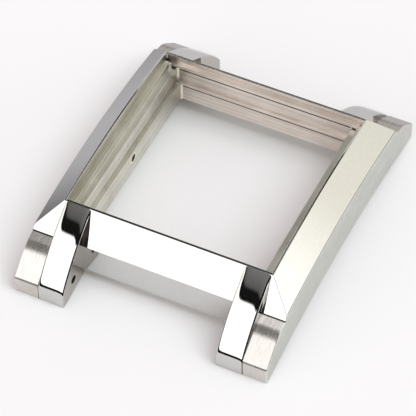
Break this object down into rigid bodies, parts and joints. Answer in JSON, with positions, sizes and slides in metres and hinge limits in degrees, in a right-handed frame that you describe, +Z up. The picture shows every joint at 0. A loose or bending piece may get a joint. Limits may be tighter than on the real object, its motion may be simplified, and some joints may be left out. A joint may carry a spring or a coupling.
{
  "type": "empty wristwatch case",
  "caption": "Empty rectangular wristwatch case: polished middle, polished inner lugs, bevelled and cambered flanks carrying brushed outer lugs, stepped opening, crown tube.",
  "frame": {"origin": "on the surface that the lug tips stand on, under the centre of the opening", "axes": "+X across the case, away from the crown tube; +Y along the case, towards the six o'clock lugs; +Z up, out of the crystal's side"},
  "size_m": [0.0332, 0.0432, 0.0103],
  "materials": {
    "polished_steel": "stainless steel, mirror polished outside, milled inside the opening",
    "satin_steel": "stainless steel, satin sides and brushed lug backs, mirror bevels and end facets",
    "turned_steel": "fine turned stainless steel"
  },
  "bodies": {
    "root": {"case_middle": "polished_steel", "flank_left": "satin_steel", "flank_right": "satin_steel", "crown_tube": "turned_steel", "inner_lug_front_left": "polished_steel", "inner_lug_front_right": "polished_steel", "inner_lug_rear_left": "polished_steel", "inner_lug_rear_right": "polished_steel", "root_pin_front_left": "turned_steel", "root_pin_front_right": "turned_steel", "root_pin_rear_left": "turned_steel", "root_pin_rear_right": "turned_steel", "lug_pin_front_left": "turned_steel", "lug_pin_front_right": "turned_steel", "lug_pin_rear_left": "turned_steel", "lug_pin_rear_right": "turned_steel"}
  },
  "joints": []
}
